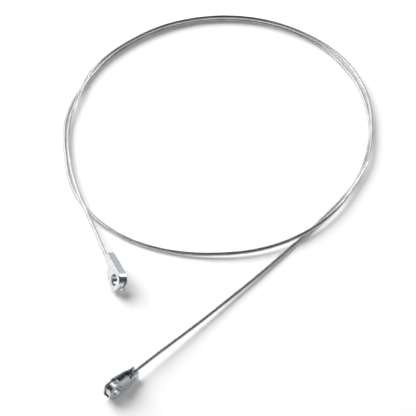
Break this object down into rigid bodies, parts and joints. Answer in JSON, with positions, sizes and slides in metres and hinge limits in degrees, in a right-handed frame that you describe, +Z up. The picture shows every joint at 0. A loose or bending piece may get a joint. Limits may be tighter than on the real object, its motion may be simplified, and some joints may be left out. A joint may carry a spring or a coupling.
{
  "type": "hood retainer cable",
  "caption": "Steel wire rope lying in a loose double loop, with a folded sheet fork and spacer bush at each end that limits how far a truck's tilting hood opens.",
  "frame": {"origin": "on the ground plane, under the middle of the box round the two end fittings", "axes": "+Z up from the ground it lies on; the two end fittings stand apart mostly along Y, fork A on the +Y side, and the rope's loop lies on the +X and +Y side of them"},
  "size_m": [0.3019, 0.2622, 0.0155],
  "materials": {
    "zinc_sheet": "bright zinc plate on folded steel sheet, lightly brushed",
    "turned_steel": "turned and zinc plated",
    "swaged_sleeve": "pressed, satin",
    "drawn_wire": "bright galvanised drawn wire, stranded"
  },
  "bodies": {
    "root": {"fork_a": "zinc_sheet", "fork_b": "zinc_sheet", "spacer_bush_a": "turned_steel", "spacer_bush_b": "turned_steel", "ferrule_a": "swaged_sleeve", "ferrule_b": "swaged_sleeve", "wire_rope": "drawn_wire"}
  },
  "joints": []
}
